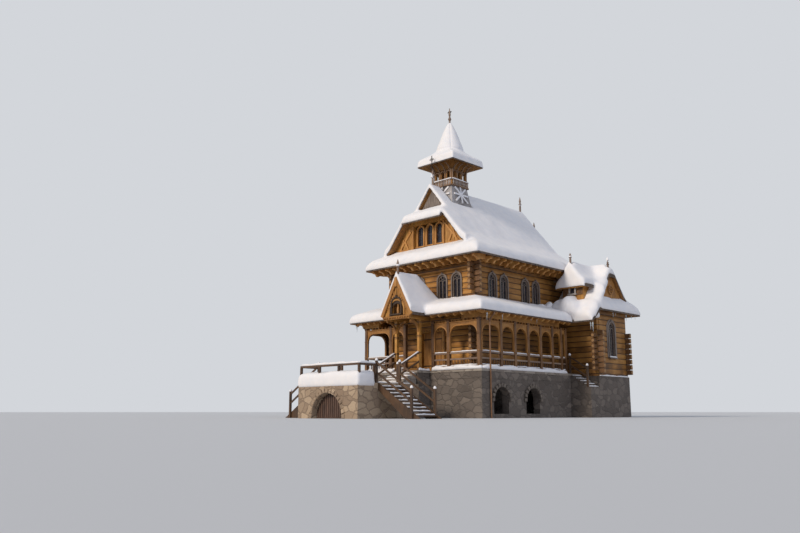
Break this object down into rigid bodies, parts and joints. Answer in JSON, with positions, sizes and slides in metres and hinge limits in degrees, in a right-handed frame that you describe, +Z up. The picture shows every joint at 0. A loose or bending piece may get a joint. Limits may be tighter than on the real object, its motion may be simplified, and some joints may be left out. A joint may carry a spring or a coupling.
{
  "type": "timber mountain chapel with arcaded porch and ridge turret",
  "caption": "Log-built alpine chapel on a stone base with arcaded porch, steep snow-laden roofs, ridge turret, side wings, entrance terrace and stairs; double door opens.",
  "frame": {"origin": "on the symmetry plane under the foundation cross wall, at the lowest ground level", "axes": "+Y from the entrance to the back, +X to the right seen from the entrance, +Z up"},
  "size_m": [12.04, 20.19, 17.55],
  "materials": {
    "log_wood": "oiled spruce logs, honey brown",
    "carved_wood": "oiled planed spruce, bright honey",
    "weathered_wood": "oiled spruce, worn and greyed outdoors",
    "door_wood": "oiled spruce planks",
    "finial_wood": "weathered turned wood with rime",
    "shingles": "split shingles, grey brown",
    "snow": "settled snow, matt white",
    "rubble_stone": "coursed rubble with lime joints",
    "coping_stone": "sawn stone slabs",
    "window_glass": "dark leaded panes",
    "downpipe_metal": "brown painted sheet"
  },
  "bodies": {
    "building": {"foundation": "rubble_stone", "porch_plinth": "rubble_stone", "porch_floor": "coping_stone", "room_floor": "weathered_wood", "front_wall_left": "log_wood", "front_wall_right": "log_wood", "front_wall_upper": "log_wood", "nave_wall_left": "log_wood", "nave_wall_right": "log_wood", "nave_back_wall": "log_wood", "wing_walls_left": "log_wood", "wing_walls_right": "log_wood", "chancel_walls": "log_wood", "corner_logs": "log_wood", "door_frame": "carved_wood", "window_frames": "carved_wood", "window_glass": "window_glass", "porch_posts": "weathered_wood", "porch_arches": "carved_wood", "porch_rails": "weathered_wood", "porch_beams": "weathered_wood", "porch_roof": "shingles", "porch_snow": "snow", "entrance_posts": "weathered_wood", "entrance_gable": "carved_wood", "entrance_roof": "shingles", "front_gable": "carved_wood", "main_roof": "shingles", "main_roof_snow": "snow", "rafters": "carved_wood", "turret_base": "carved_wood", "belfry": "carved_wood", "turret_cap": "shingles", "turret_snow": "snow", "pinnacles": "finial_wood", "rear_roofs": "shingles", "rear_snow": "snow", "wing_gables": "carved_wood", "dormers": "carved_wood", "entrance_stair": "weathered_wood", "terrace": "rubble_stone", "terrace_snow": "snow", "terrace_flights": "weathered_wood", "side_stairs": "weathered_wood", "handrails": "weathered_wood", "downpipe": "downpipe_metal"},
    "door_left": {"door_leaf_left": "door_wood"},
    "door_right": {"door_leaf_right": "door_wood"}
  },
  "joints": [
    {"name": "door_left_hinge", "type": "hinge", "parent": "building", "child": "door_left", "pos_m": [-0.742, -4.77, 2.65], "axis": [0, 0, 1], "range_deg": [0, 95]},
    {"name": "door_right_hinge", "type": "hinge", "parent": "building", "child": "door_right", "pos_m": [0.742, -4.77, 2.65], "axis": [0, 0, -1], "range_deg": [0, 95]}
  ]
}
